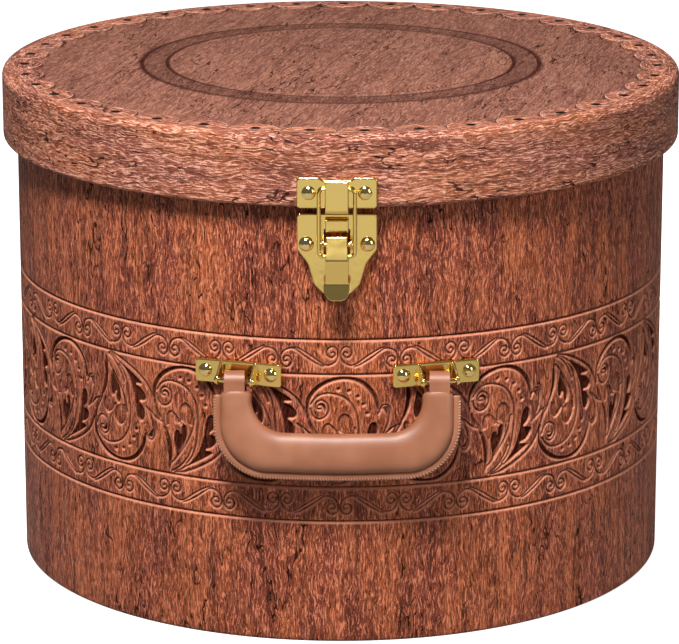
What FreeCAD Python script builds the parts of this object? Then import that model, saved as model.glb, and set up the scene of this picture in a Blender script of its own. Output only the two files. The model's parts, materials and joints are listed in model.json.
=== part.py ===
import FreeCAD, Part
import math
import os

from FreeCAD import Rotation, Vector

# Round leather-covered hat box: hinged lid, sprung-wire draw latch and a drop handle.
# Millimetres, +Z up.  The origin is the centre of the base on the surface that the box stands on.
# -Y is the front, where the latch and the handle are; the hinges are at the back, +Y.
# Each sub-part is one function, and each goes to its own STEP file in parts/.

# ---- driving dimensions: the two boards and what covers them -------------------------------------
BODY_R = 191.7          # outside of the wall's leather
LID_R = 200.0           # outside of the lid rim's leather
LID_TOP = 294.6         # top of the lid's scalloped border
LID_BOTTOM = 254.0      # lower edge of the lid's rim
LEATHER = 1.2
BOARD = 3.5             # bent board of the wall
RIM_BOARD = 3.0         # bent board of the lid's rim
LINING = 0.8
BEND_IN, BEND_OUT = 1.2, 2.4    # radii of a leather fold, inside and outside
LID_EDGE_IN, LID_EDGE_OUT = 3.0, 4.2    # the softer fold round the lid's top

LID_BOARD = 4.0
LID_DOME = 2.6          # rise of the padded top at its middle
DOME_R = 170.0          # where the padded top meets the flat margin
LID_TURN_IN = 4.2       # leather turned up inside the rim

BASE_BOARD = 5.0
BASE_TURN_UNDER = 18.0  # leather turned under the base board
WALL_TURN_IN = 20.0     # leather turned down inside the wall
FLOOR_PAD = 4.0

PETALS = 39             # scallops round the lid's border
PETAL_CUSP_R, PETAL_TIP_R = 191.5, 176.8
PETAL_GAP = 0.8         # slit between two petals
PETAL_HOLE_R, PETAL_HOLE_AT = 2.2, 187.0

# ---- driving dimensions: latch -------------------------------------------------------------------
SHEET = 1.2             # pressed brass sheet
STRIKE_FRONT = LID_R + 2.2      # distance of the strike's face from the box's axis
STRIKE_HALF, STRIKE_Z = 22.0, (254.4, 271.5)
PLATE_FRONT = BODY_R + 3.5
PLATE_HALF, PLATE_TOP, PLATE_SHOULDER, PLATE_TIP = 22.0, 249.8, 229.6, 204.3
BRIDGE_Z = (239.6, 247.9)
HOOK_HALF = 6.35
HOOK_Z = (252.5, 270.6)
HOOK_GAP = 3.5          # from the wire's centre to the lip in front of it
WIRE_R = 1.1
WIRE_HALF = 9.9         # centre line of the wire's long sides
WIRE_BEND = 2.6
LEVER_AXIS = (198.5, 233.2)     # (distance from the box's axis, height)
WIRE_ARM = 7.5          # from the lever's pin to the wire's ends
WIRE_ARM_ANGLE = 45.0   # outwards from straight down
WIRE_TOP = (203.8, 265.4)
LEVER_HALF = 5.9
LEVER_LIP_HALF = 7.3
LEVER_PIN_R = 1.2

# ---- driving dimensions: handle ------------------------------------------------------------------
PIN_X = 56.8            # middle of each handle pin
PIN_STANDOFF = 8.8      # pin's centre from the leather
PIN_Z = 153.5
PIN_R = 1.5
HANDLE_TILT = 16.0      # the hanging handle leans out over the wall's bulge
BRACKET_HALF, BRACKET_Z, BRACKET_RISE = 25.0, (150.0, 163.2), 3.0
EAR_X = 9.8             # middle of each ear's thickness
STRAP_HALF = 5.65
STRAP_BORE_R, STRAP_OUTER_R = 3.4, 6.0
GRIP_HALF_THICK = 6.5
GRIP_TOP, GRIP_BOTTOM = 6.2, 50.0       # distances below the pins, without the seam
GRIP_INNER_X, GRIP_OUTER_X = 47.2, 64.6
GRIP_INNER_BOTTOM = 28.6
GRIP_INNER_BEND = 16.0
SEAM_WIDE, SEAM_FRONT, SEAM_BACK = 3.8, 1.2, -2.0

# ---- driving dimensions: hinges and rivets -------------------------------------------------------
HINGE_X, HINGE_HALF = 30.0, 13.0
HINGE_AXIS = (197.6, 250.8)     # (y, z)
KNUCKLE_R = 2.8
HINGE_PIN_R = 1.2
KNUCKLE_GAP = 0.25
HINGE_LEAF = 1.2
HINGE_LID_Z, HINGE_BODY_Z = (254.4, 275.0), (226.0, 248.6)
SHANK_R, SHANK_CLEAR = 1.5, 0.02
LATCH_RIVET_X, LATCH_RIVET_Z = 16.8, 232.6
LATCH_HEAD_R, LATCH_HEAD_HIGH = 4.2, 2.6
STRIKE_RIVET_X, STRIKE_RIVET_Z = 15.4, 263.0
STRIKE_HEAD_R, STRIKE_HEAD_HIGH = 3.9, 2.0
BRACKET_RIVET_X, BRACKET_RIVET_Z = 19.0, 156.8
BRACKET_HEAD_R, BRACKET_HEAD_HIGH = 3.9, 2.4
HINGE_RIVET_X, HINGE_LID_RIVET_Z, HINGE_BODY_RIVET_Z = 7.0, 266.0, 236.0
HINGE_HEAD_R, HINGE_HEAD_HIGH = 2.9, 1.5
BRACKET_BACK = 0.8      # sheet of the bracket's back plate, behind the loop
WASHER_R, WASHER_THICK = 4.4, 0.5
TAIL_R, TAIL_THICK = 2.7, 0.5

# ---- worked out ----------------------------------------------------------------------------------
HOOP_OUT = BODY_R - LEATHER
HOOP_IN = HOOP_OUT - BOARD
LID_HOOP_OUT = LID_R - LEATHER
LID_HOOP_IN = LID_HOOP_OUT - RIM_BOARD
LID_COVER_TOP = LID_TOP - LEATHER
LID_BOARD_TOP = LID_COVER_TOP - LEATHER
LID_BOARD_LOW = LID_BOARD_TOP - LID_BOARD
WALL_TOP = LID_BOARD_LOW - LINING - 0.3
FLOOR_Z = LEATHER + BASE_BOARD
# A rivet's tail is drawn up on the lining behind it.
BODY_INSIDE = HOOP_IN - LINING - 0.05
LID_INSIDE = LID_HOOP_IN - LINING - 0.05
PIN_AT = BODY_R + PIN_STANDOFF
BRACKET_ANGLE = math.degrees(math.asin(PIN_X / PIN_AT))
HANDLE_AXIS_Y = -math.sqrt(PIN_AT ** 2 - PIN_X ** 2)
WIRE_END = (LEVER_AXIS[0] + WIRE_ARM * math.sin(math.radians(WIRE_ARM_ANGLE)),
            LEVER_AXIS[1] - WIRE_ARM * math.cos(math.radians(WIRE_ARM_ANGLE)))


# ---- drawing tools -------------------------------------------------------------------------------
def rounded_wire(corners, place):
    """Closed outline through corners (a, b, radius), each corner rounded; place(a, b) gives the point."""
    spots = []
    count = len(corners)
    for i, (a, b, radius) in enumerate(corners):
        here = Vector(a, b, 0)
        before = Vector(*corners[i - 1][:2], 0) - here
        after = Vector(*corners[(i + 1) % count][:2], 0) - here
        if not radius:
            spots.append((here, here, here))
            continue
        half = before.getAngle(after) / 2
        trim = radius / math.tan(half)
        middle = (before.normalize() + after.normalize()).normalize()
        centre = here + middle * (radius / math.sin(half))
        spots.append((here + before * trim, centre - middle * radius, here + after * trim))
    at = [[place(p.x, p.y) for p in spot] for spot in spots]
    edges = []
    for i, (start, mid, end) in enumerate(at):
        if (end - start).Length > 1e-6:
            edges.append(Part.Arc(start, mid, end).toShape())
        following = at[(i + 1) % count][0]
        if (following - end).Length > 1e-6:
            edges.append(Part.LineSegment(end, following).toShape())
    return Part.Wire(edges)


def turned(corners):
    """Solid of revolution about Z from corners (radius, z, rounding)."""
    face = Part.Face(rounded_wire(corners, lambda r, z: Vector(r, 0, z)))
    return face.revolve(Vector(0, 0, 0), Vector(0, 0, 1), 360)


def from_front(corners, out_far, out_near):
    """Outline (x, z, rounding) seen from the front, between two distances out along -Y."""
    face = Part.Face(rounded_wire(corners, lambda x, z: Vector(x, -out_far, z)))
    return face.extrude(Vector(0, out_far - out_near, 0))


def from_side(corners, x_low, x_high):
    """Outline (distance out, z, rounding) seen from the side, between two values of x."""
    face = Part.Face(rounded_wire(corners, lambda out, z: Vector(x_low, -out, z)))
    return face.extrude(Vector(x_high - x_low, 0, 0))


def rod_x(radius, x_low, x_high, out, z):
    return Part.makeCylinder(radius, x_high - x_low, Vector(x_low, -out, z), Vector(1, 0, 0))


def tube(r_out, r_in, z_low, z_high):
    outer = Part.makeCylinder(r_out, z_high - z_low, Vector(0, 0, z_low))
    return outer.cut(Part.makeCylinder(r_in, z_high - z_low, Vector(0, 0, z_low)))


def round_edges(shape, radius, wanted):
    """Fillets the edges whose middle point and direction pass the test wanted(edge)."""
    return shape.makeFillet(radius, [e for e in shape.Edges if wanted(e)])


def on_plane(edge, y):
    return all(abs(v.Point.y - y) < 1e-4 for v in edge.Vertexes)


def one(shapes):
    """Fuses touching solids and drops the seams between them."""
    return shapes[0].fuse(shapes[1:]).removeSplitter()


def turned_about_z(shape, degrees):
    moved = shape.copy()
    moved.rotate(Vector(0, 0, 0), Vector(0, 0, 1), degrees)
    return moved


def mirrored_x(shape):
    return shape.mirror(Vector(0, 0, 0), Vector(1, 0, 0))


# ---- rivets --------------------------------------------------------------------------------------
class Rivet:
    """A domed rivet through sheet, leather, board and lining, driven square to the wall at a bearing."""

    def __init__(self, bearing, z, seat, inside, head_r=3.4, head_high=1.9):
        self.bearing, self.z, self.seat, self.inside = bearing, z, seat, inside
        self.head_r, self.head_high = head_r, head_high

    def _place(self, shape):
        return turned_about_z(shape, self.bearing)

    def _round(self, corners):
        """Turned solid whose axis runs from the box's axis out along -Y at the rivet's height."""
        shape = turned(corners)
        shape.rotate(Vector(0, 0, 0), Vector(1, 0, 0), 90)
        shape.translate(Vector(0, 0, self.z))
        return self._place(shape)

    def solid(self):
        rise, rim = self.head_high, 0.35
        dome_r = (self.head_r ** 2 + (rise - rim) ** 2) / (2 * (rise - rim))
        dome = Part.makeSphere(dome_r, Vector(0, 0, self.seat + rise - dome_r))
        head = Part.makeCylinder(self.head_r, rise, Vector(0, 0, self.seat)).common(dome)
        tail_low = self.inside - WASHER_THICK - TAIL_THICK
        shank = Part.makeCylinder(SHANK_R, self.seat + 0.1 - tail_low, Vector(0, 0, tail_low))
        tail = Part.makeCylinder(TAIL_R, TAIL_THICK, Vector(0, 0, tail_low))
        shape = one([head, shank, tail])
        shape.rotate(Vector(0, 0, 0), Vector(1, 0, 0), 90)
        shape.translate(Vector(0, 0, self.z))
        return self._place(shape)

    def washer(self):
        hole = SHANK_R + SHANK_CLEAR
        return self._round([(hole, self.inside - WASHER_THICK, 0),
                            (WASHER_R, self.inside - WASHER_THICK, 0),
                            (WASHER_R, self.inside, 0), (hole, self.inside, 0)])

    def hole(self):
        shape = Part.makeCylinder(SHANK_R + SHANK_CLEAR, 40, Vector(0, 0, self.inside - 10))
        shape.rotate(Vector(0, 0, 0), Vector(1, 0, 0), 90)
        shape.translate(Vector(0, 0, self.z))
        return self._place(shape)


def bearing_at(x, radius):
    """Bearing from the front, in degrees, of the point of a wall that is x to the right."""
    return math.degrees(math.asin(x / radius))


class OffsetRivet(Rivet):
    """A rivet that is x to the side of its plate's middle, parallel to that middle's bearing."""

    def __init__(self, bearing, x, z, seat, wall_in, **head):
        depth = math.sqrt(wall_in ** 2 - (abs(x) + WASHER_R) ** 2)
        super().__init__(bearing, z, seat, depth, **head)
        self.x = x

    def _place(self, shape):
        moved = shape.copy()
        moved.translate(Vector(self.x, 0, 0))
        return turned_about_z(moved, self.bearing)


def latch_plate_rivet_set():
    return [OffsetRivet(0, side * LATCH_RIVET_X, LATCH_RIVET_Z, PLATE_FRONT, BODY_INSIDE,
                        head_r=LATCH_HEAD_R, head_high=LATCH_HEAD_HIGH)
            for side in (-1, 1)]


def strike_rivet_set():
    return [OffsetRivet(0, side * STRIKE_RIVET_X, STRIKE_RIVET_Z, STRIKE_FRONT, LID_INSIDE,
                        head_r=STRIKE_HEAD_R, head_high=STRIKE_HEAD_HIGH)
            for side in (-1, 1)]


def bracket_rivet_set(side):
    return [OffsetRivet(side * BRACKET_ANGLE, x, BRACKET_RIVET_Z, BODY_R + BRACKET_RISE, BODY_INSIDE,
                        head_r=BRACKET_HEAD_R, head_high=BRACKET_HEAD_HIGH)
            for x in (-BRACKET_RIVET_X, BRACKET_RIVET_X)]


def hinge_rivet_set(on_lid):
    outside, inside = (LID_R, LID_INSIDE) if on_lid else (BODY_R, BODY_INSIDE)
    height = HINGE_LID_RIVET_Z if on_lid else HINGE_BODY_RIVET_Z
    rivets = []
    for hinge in (-HINGE_X, HINGE_X):
        for x in (hinge - HINGE_RIVET_X, hinge + HINGE_RIVET_X):
            bearing = 180 + bearing_at(x, outside)
            rivets.append(Rivet(bearing, height, outside + HINGE_LEAF, inside - 0.06,
                                head_r=HINGE_HEAD_R, head_high=HINGE_HEAD_HIGH))
    return rivets


BODY_RIVETS = latch_plate_rivet_set() + bracket_rivet_set(-1) + bracket_rivet_set(1) + hinge_rivet_set(False)
LID_RIVETS = strike_rivet_set() + hinge_rivet_set(True)


def drilled(shape, rivets):
    for rivet in rivets:
        shape = shape.cut(rivet.hole())
    return shape


# ---- the box -------------------------------------------------------------------------------------
def base_board():
    return Part.makeCylinder(HOOP_IN, BASE_BOARD, Vector(0, 0, LEATHER))


def base_cover():
    return Part.makeCylinder(BODY_R - BASE_TURN_UNDER - 0.2, LEATHER)


def wall_hoop():
    top = WALL_TOP - LEATHER
    return drilled(turned([(HOOP_IN, LEATHER, 0), (HOOP_OUT, LEATHER, BEND_IN),
                           (HOOP_OUT, top, BEND_IN), (HOOP_IN, top, BEND_IN)]), BODY_RIVETS)


def wall_cover():
    """Leather round the wall, turned under the base board and down inside the wall's top edge."""
    top, turn = WALL_TOP - LEATHER, WALL_TOP - WALL_TURN_IN
    inner = HOOP_IN - LEATHER
    return drilled(turned([
        (BODY_R - BASE_TURN_UNDER, 0, 0), (BODY_R, 0, BEND_OUT), (BODY_R, WALL_TOP, BEND_OUT),
        (inner, WALL_TOP, BEND_OUT), (inner, turn, 0), (HOOP_IN, turn, 0), (HOOP_IN, top, BEND_IN),
        (HOOP_OUT, top, BEND_IN), (HOOP_OUT, LEATHER, BEND_IN), (BODY_R - BASE_TURN_UNDER, LEATHER, 0)]),
        BODY_RIVETS)


def wall_lining():
    return drilled(tube(HOOP_IN, HOOP_IN - LINING, FLOOR_Z, WALL_TOP - WALL_TURN_IN), BODY_RIVETS)


def floor_pad():
    radius = HOOP_IN - LINING - 0.2
    top = FLOOR_Z + FLOOR_PAD
    return turned([(0, FLOOR_Z, 0), (radius, FLOOR_Z, 0), (radius, top, 2.5), (0, top, 0)])


# ---- the lid -------------------------------------------------------------------------------------
def lid_board():
    return Part.makeCylinder(LID_HOOP_IN, LID_BOARD, Vector(0, 0, LID_BOARD_LOW))


def lid_hoop():
    low = LID_BOTTOM + LEATHER
    return drilled(turned([(LID_HOOP_IN, low, BEND_IN), (LID_HOOP_OUT, low, BEND_IN),
                           (LID_HOOP_OUT, LID_BOARD_TOP, LID_EDGE_IN), (LID_HOOP_IN, LID_BOARD_TOP, 0)]),
                   LID_RIVETS)


def dome(rise_from):
    """Ball whose cap stands LID_DOME above the height rise_from within DOME_R."""
    radius = (DOME_R ** 2 + LID_DOME ** 2) / (2 * LID_DOME)
    return Part.makeSphere(radius, Vector(0, 0, rise_from + LID_DOME - radius))


def lid_pad():
    block = Part.makeCylinder(DOME_R, LID_DOME + 1, Vector(0, 0, LID_BOARD_TOP))
    return block.common(dome(LID_BOARD_TOP))


def lid_top_cover():
    sheet = Part.makeCylinder(LID_HOOP_OUT - LID_EDGE_IN - 0.2, LEATHER, Vector(0, 0, LID_BOARD_TOP))
    drum = Part.makeCylinder(DOME_R, LID_DOME + 2 * LEATHER, Vector(0, 0, LID_BOARD_TOP))
    cap = drum.common(dome(LID_COVER_TOP))
    return one([sheet, cap]).cut(lid_pad())


def scallop_opening():
    """What the border leaves open inside its petals: an arc round each petal and a slit after it."""
    step = 2 * math.pi / PETALS
    slit = PETAL_GAP / PETAL_CUSP_R

    def at(radius, angle):
        return Vector(radius * math.sin(angle), -radius * math.cos(angle), LID_COVER_TOP - 1)

    edges = []
    for i in range(PETALS):
        start, end = i * step + slit / 2, (i + 1) * step - slit / 2
        first, last = at(PETAL_CUSP_R, start), at(PETAL_CUSP_R, end)
        edges.append(Part.Arc(first, at(PETAL_TIP_R, (start + end) / 2), last).toShape())
        edges.append(Part.LineSegment(last, at(PETAL_CUSP_R, end + slit)).toShape())
    return Part.Face(Part.Wire(edges)).extrude(Vector(0, 0, LEATHER + 3))


def petal_holes():
    step = 2 * math.pi / PETALS
    holes = []
    for i in range(PETALS):
        angle = (i + 0.5) * step
        centre = Vector(PETAL_HOLE_AT * math.sin(angle), -PETAL_HOLE_AT * math.cos(angle), LID_COVER_TOP - 1)
        holes.append(Part.makeCylinder(PETAL_HOLE_R, LEATHER + 3, centre))
    return Part.makeCompound(holes)


def lid_rim_cover():
    """Leather round the rim, turned up inside it, and turned over the top as a border of pierced petals."""
    low, turn = LID_BOTTOM + LEATHER, LID_BOTTOM + LID_TURN_IN
    inner, border_in = LID_HOOP_IN - LEATHER, PETAL_TIP_R - 5
    band = turned([
        (border_in, LID_TOP, 0), (LID_R, LID_TOP, LID_EDGE_OUT), (LID_R, LID_BOTTOM, BEND_OUT),
        (inner, LID_BOTTOM, BEND_OUT), (inner, turn, 0), (LID_HOOP_IN, turn, 0),
        (LID_HOOP_IN, low, BEND_IN),
        (LID_HOOP_OUT, low, BEND_IN), (LID_HOOP_OUT, LID_COVER_TOP, LID_EDGE_IN),
        (border_in, LID_COVER_TOP, 0)])
    return drilled(band.cut(scallop_opening()).cut(petal_holes()), LID_RIVETS)


def lid_lining():
    return Part.makeCylinder(LID_HOOP_IN - LINING, LINING, Vector(0, 0, LID_BOARD_LOW - LINING))


def lid_rim_lining():
    lining = tube(LID_HOOP_IN, LID_HOOP_IN - LINING, LID_BOTTOM + LID_TURN_IN, LID_BOARD_LOW)
    return drilled(lining, LID_RIVETS)


# ---- the latch -----------------------------------------------------------------------------------
def pan(outer, inner, front, wall_r):
    """Pressed plate with skirts: a flat face at front, and edges that come down to a round wall."""
    shell = from_front(outer, front, wall_r - 6)
    shell = round_edges(shell, 0.7, lambda e: on_plane(e, -front))
    heights = [z for x, z, r in outer]
    wall = Part.makeCylinder(wall_r, max(heights) - min(heights) + 4, Vector(0, 0, min(heights) - 2))
    return shell.cut(from_front(inner, front - SHEET, wall_r - 6.5)).cut(wall)


def strike_outline(half, low, high, dip, corner):
    """Two square ears joined below a shallow dip between them, from the lower left corner."""
    return [(-half, low, corner), (half, low, corner), (half, high, corner),
            (HOOK_HALF + 3.2, high, corner),
            (HOOK_HALF + 1.2, high - dip, corner / 2), (-HOOK_HALF - 1.2, high - dip, corner / 2),
            (-HOOK_HALF - 3.2, high, corner), (-half, high, corner)]


def strike_hook():
    """Pressed box whose front sheet stands up as a lip, with the wire lying on the box's top behind it."""
    crotch = WIRE_TOP[1] - WIRE_R - 0.4
    low, lip_top = HOOK_Z
    back, lip = STRIKE_FRONT - 0.6, WIRE_TOP[0] + HOOK_GAP
    front, high = lip + SHEET, STRIKE_Z[0] + 0.6
    block = from_side([(back, high, 0), (STRIKE_FRONT + 1.5, low, 0), (front - 1.2, low, 0),
                       (front, low + 1.6, 0),
                       (front, lip_top, 0), (lip, lip_top, 0), (lip, crotch, 0), (back, crotch, 0)],
                      -HOOK_HALF, HOOK_HALF)
    block = round_edges(block, 0.5, lambda e: on_plane(e, -front) and e.Length > 8)
    hollow = from_side([(STRIKE_FRONT, high + SHEET, 0), (lip, high + SHEET, 0), (lip, crotch - SHEET, 0),
                        (STRIKE_FRONT, crotch - SHEET, 0)], -HOOK_HALF - 1, HOOK_HALF + 1)
    return block.cut(hollow)


def latch_strike():
    low, high = STRIKE_Z
    outer = strike_outline(STRIKE_HALF, low, high, 1.4, 2.0)
    inner = [(-STRIKE_HALF + SHEET, low + SHEET, 1), (STRIKE_HALF - SHEET, low + SHEET, 1),
             (STRIKE_HALF - SHEET, high - 2.6, 1), (-STRIKE_HALF + SHEET, high - 2.6, 1)]
    return drilled(one([pan(outer, inner, STRIKE_FRONT, LID_R), strike_hook()]), strike_rivet_set())


def shield(inset):
    """The lower plate's outline: square shoulders, hollow flanks and a rounded tip; inset draws it in."""
    half, top, tip = PLATE_HALF - inset, PLATE_TOP - inset, PLATE_TIP + inset
    right = [(half, top, 2.0), (half, PLATE_SHOULDER, 3.0), (16.0 - inset, 221.6, 9.0),
             (12.6 - inset, 209.6, 5.0),
             (7.2 - inset * 0.6, tip, 2.5)]
    left = [(-x, z, r) for x, z, r in reversed(right)]
    return right + left


def lever_window():
    """Gap in the plate that the lever's top turns through."""
    out = LEVER_AXIS[0]
    low, high = LEVER_AXIS[1] - 7.5, BRIDGE_Z[0] + 1.5
    return from_front([(-7.1, low, 0.8), (7.1, low, 0.8), (7.1, high, 0.8),
                       (-7.1, high, 0.8)], out, BODY_R - 2)


def latch_bridge():
    """Raised box of the plate between the wire's sides, above the lever."""
    front, (low, high) = PLATE_FRONT + 3.2, BRIDGE_Z
    block = from_side([(PLATE_FRONT - 0.6, low, 0), (front - 0.5, low, 0.6), (front, low + 1.4, 0.8),
                       (front, high - 1.0, 0.8), (PLATE_FRONT - 0.6, high, 0)], -6.2, 6.2)
    hollow = from_side([(PLATE_FRONT - 1, low + SHEET, 0), (front - SHEET, low + SHEET, 0.5),
                        (front - SHEET, high - SHEET - 0.6, 0.5),
                        (PLATE_FRONT - 1, high - SHEET, 0)], -5.2, 5.2)
    return block.cut(hollow)


def latch_ear(side):
    """Ear bent up from the plate's window, which holds the lever's pin."""
    out, z = LEVER_AXIS
    sheet = from_side([(PLATE_FRONT - SHEET, z - 4.2, 0), (out, z - 2.6, 1.2), (out + 2.6, z - 2.6, 2.4),
                       (out + 2.6, z + 2.6, 2.4), (out, z + 2.8, 1.2),
                       (PLATE_FRONT - SHEET, z + 4.4, 0)], 7.1, 8.1)
    return sheet if side > 0 else mirrored_x(sheet)


def latch_plate():
    plate = pan(shield(0), shield(SHEET), PLATE_FRONT, BODY_R).cut(lever_window())
    whole = one([plate, latch_bridge(), latch_ear(-1), latch_ear(1)])
    bore = rod_x(LEVER_PIN_R + SHANK_CLEAR, -12, 12, *LEVER_AXIS)
    return drilled(whole.cut(bore), latch_plate_rivet_set())


def latch_lever_pin():
    out, z = LEVER_AXIS
    heads = [rod_x(LEVER_PIN_R + 0.35, -8.6, -8.1, out, z), rod_x(LEVER_PIN_R + 0.35, 8.1, 8.6, out, z)]
    return one([rod_x(LEVER_PIN_R, -8.3, 8.3, out, z)] + heads)


def lever_sheet():
    """The lever's bent strip, from the side: out over the wire's ends, back in, and a lip to lift."""
    face = [(201.6, 238.2), (208.4, 226.2), (204.6, 212.4), (208.4, 203.6)]
    thick = SHEET
    back = [(x - thick, z) for x, z in face]
    rounding = [0.4, 1.6, 1.8, 0.5]
    front_side = [(x, z, r) for (x, z), r in zip(face, rounding)]
    back_side = [(x, z, max(0.3, r - 0.3)) for (x, z), r in zip(reversed(back), reversed(rounding))]
    strip = from_side(front_side + back_side, -LEVER_LIP_HALF, LEVER_LIP_HALF)
    width = [(-LEVER_HALF + 0.5, 240, 0), (LEVER_HALF - 0.5, 240, 0), (LEVER_HALF + 0.3, 226, 0),
             (LEVER_HALF + 0.3, 213.2, 0.6), (LEVER_LIP_HALF, 212.0, 0.8), (LEVER_LIP_HALF, 203.5, 6.6),
             (-LEVER_LIP_HALF, 203.5, 6.6), (-LEVER_LIP_HALF, 212.0, 0.8), (-LEVER_HALF - 0.3, 213.2, 0.6),
             (-LEVER_HALF - 0.3, 226, 0)]
    return strip.common(from_front(width, 215, 190))


def lever_flange(side):
    """Side of the lever that carries the pin and the wire's end."""
    out, z = LEVER_AXIS
    end_out, end_z = WIRE_END
    sheet = from_side([(out - 2.4, z + 2.4, 2.2), (out - 2.4, z - 2.4, 2.2),
                       (end_out - 2.6, end_z - 2.6, 1.5),
                       (end_out + 2.2, end_z - 2.2, 0.6), (207.2, 226.9, 0.2), (201.2, 237.8, 0.5)],
                      LEVER_HALF - 1.2, LEVER_HALF - 0.2)
    return sheet if side > 0 else mirrored_x(sheet)


def latch_lever():
    whole = one([lever_sheet(), lever_flange(-1), lever_flange(1)])
    bore = rod_x(LEVER_PIN_R + 0.06, -12, 12, *LEVER_AXIS)
    return whole.cut(bore).cut(rod_x(WIRE_R + 0.08, -12, 12, *WIRE_END))


def latch_wire():
    """Bent wire: a bar that hooks on, two long sides, and ends turned in through the lever."""
    top_out, top_z = WIRE_TOP
    end_out, end_z = WIRE_END
    stub = LEVER_HALF - 1.6

    def along(x, z):
        out = end_out + (top_out - end_out) * (z - end_z) / (top_z - end_z)
        return Vector(x, -out, z)

    corner = WIRE_BEND * (1 - math.sqrt(0.5))
    path, here = [], along(-stub, end_z)
    for side, low in ((-1, True), (-1, False), (1, False), (1, True)):
        x, z = side * WIRE_HALF, end_z if low else top_z
        inward, up = (x - side * WIRE_BEND), (z + WIRE_BEND if low else z - WIRE_BEND)
        ends = [along(inward, z), along(x, up)]
        if side > 0:
            ends.reverse()
        if not low:
            ends.reverse()
        middle = along(x - side * corner, z + corner if low else z - corner)
        path += [Part.LineSegment(here, ends[0]).toShape(), Part.Arc(ends[0], middle, ends[1]).toShape()]
        here = ends[1]
    path.append(Part.LineSegment(here, along(stub, end_z)).toShape())
    section = Part.Wire(Part.Circle(along(-stub, end_z), Vector(1, 0, 0), WIRE_R).toShape())
    return Part.Wire(path).makePipeShell([section], True, True)


# ---- the handle ----------------------------------------------------------------------------------
def bracket_ear(side):
    """Gusset bent out of the bracket, which holds one end of the handle's pin."""
    root = BODY_R + BRACKET_RISE - 0.6
    low, high = BRACKET_Z[0] + 0.6, BRACKET_Z[1] - 0.8
    sheet = from_side([(root, low, 0), (PIN_AT, PIN_Z - 2.7, 2.4), (PIN_AT + 2.7, PIN_Z - 2.7, 2.5),
                       (PIN_AT + 2.7, PIN_Z + 1.8, 2.0), (root + 1.2, high, 0.8), (root, high, 0)],
                      EAR_X - SHEET / 2, EAR_X + SHEET / 2)
    return sheet if side > 0 else mirrored_x(sheet)


def handle_bracket(side):
    low, high = BRACKET_Z
    half, front = BRACKET_HALF, BODY_R + BRACKET_RISE
    outer = [(-half, low, 1.8), (half, low, 1.8), (half, high, 1.8), (-half, high, 1.8)]
    inner = [(-half + SHEET, low + SHEET, 0.8), (half - SHEET, low + SHEET, 0.8),
             (half - SHEET, high - SHEET, 0.8), (-half + SHEET, high - SHEET, 0.8)]
    edge, sill, head = EAR_X - SHEET, low - 2, high - 2.0
    window = from_front([(-edge, sill, 0), (edge, sill, 0), (edge, head, 1), (-edge, head, 1)],
                        front + 1, BODY_R - 2)
    back = from_front([(-half + 0.5, low + 0.4, 1.4), (half - 0.5, low + 0.4, 1.4),
                       (half - 0.5, high - 0.4, 1.4), (-half + 0.5, high - 0.4, 1.4)],
                      BODY_R + BRACKET_BACK, BODY_R + 0.05)
    shape = one([pan(outer, inner, front, BODY_R).cut(window), back, bracket_ear(-1), bracket_ear(1)])
    shape = shape.cut(rod_x(PIN_R + SHANK_CLEAR, -14, 14, PIN_AT, PIN_Z))
    return drilled(turned_about_z(shape, side * BRACKET_ANGLE), bracket_rivet_set(side))


def handle_pin(side):
    end = EAR_X + SHEET / 2
    rod = rod_x(PIN_R, -end - 0.5, end + 0.5, PIN_AT, PIN_Z)
    heads = [rod_x(PIN_R + 0.8, low, low + 0.9, PIN_AT, PIN_Z) for low in (-end - 0.9, end)]
    return turned_about_z(one([rod] + heads), side * BRACKET_ANGLE)


def hung(shape):
    """From the handle's own plane, pins on the X axis and grip straight below, to where it hangs."""
    moved = shape.copy()
    moved.rotate(Vector(0, 0, 0), Vector(1, 0, 0), -HANDLE_TILT)
    moved.translate(Vector(0, HANDLE_AXIS_Y, PIN_Z))
    return moved


def grip_outline(grow):
    """The grip's U, with its outer side moved out by grow: arms, wide outer corners and a sagging bottom."""
    outer, bottom, top = GRIP_OUTER_X + grow, -GRIP_BOTTOM - grow, -GRIP_TOP
    right = [(GRIP_INNER_X, top, 5.5), (outer, top, 5.5), (outer - 0.4, bottom + 1.6, 27.0 + grow)]
    left = [(-x, z, r) for x, z, r in reversed(right)]
    return (right + [(0, bottom, 150)] + left
            + [(-GRIP_INNER_X, -GRIP_INNER_BOTTOM, GRIP_INNER_BEND),
               (GRIP_INNER_X, -GRIP_INNER_BOTTOM, GRIP_INNER_BEND)])


def grip_solid():
    body = from_front(grip_outline(0), GRIP_HALF_THICK, -GRIP_HALF_THICK)
    body = round_edges(body, 4.5, lambda e: on_plane(e, GRIP_HALF_THICK) or on_plane(e, -GRIP_HALF_THICK))
    seam = from_front(grip_outline(SEAM_WIDE), SEAM_FRONT, SEAM_BACK)
    return one([body, seam])


def strap_solid(side):
    """Leather tab that loops round a pin, with both its ends sewn into the grip's arm."""
    x_low, x_high = side * PIN_X - STRAP_HALF, side * PIN_X + STRAP_HALF
    loop = rod_x(STRAP_OUTER_R, x_low, x_high, 0, 0)
    tongue = from_side([(-STRAP_OUTER_R, 0, 0), (STRAP_OUTER_R, 0, 0), (5.2, -GRIP_TOP, 6), (2.6, -18, 0.6),
                        (-2.6, -18, 0.6), (-5.2, -GRIP_TOP, 6)], x_low, x_high)
    return one([loop, tongue]).cut(rod_x(STRAP_BORE_R, x_low - 1, x_high + 1, 0, 0))


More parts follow.
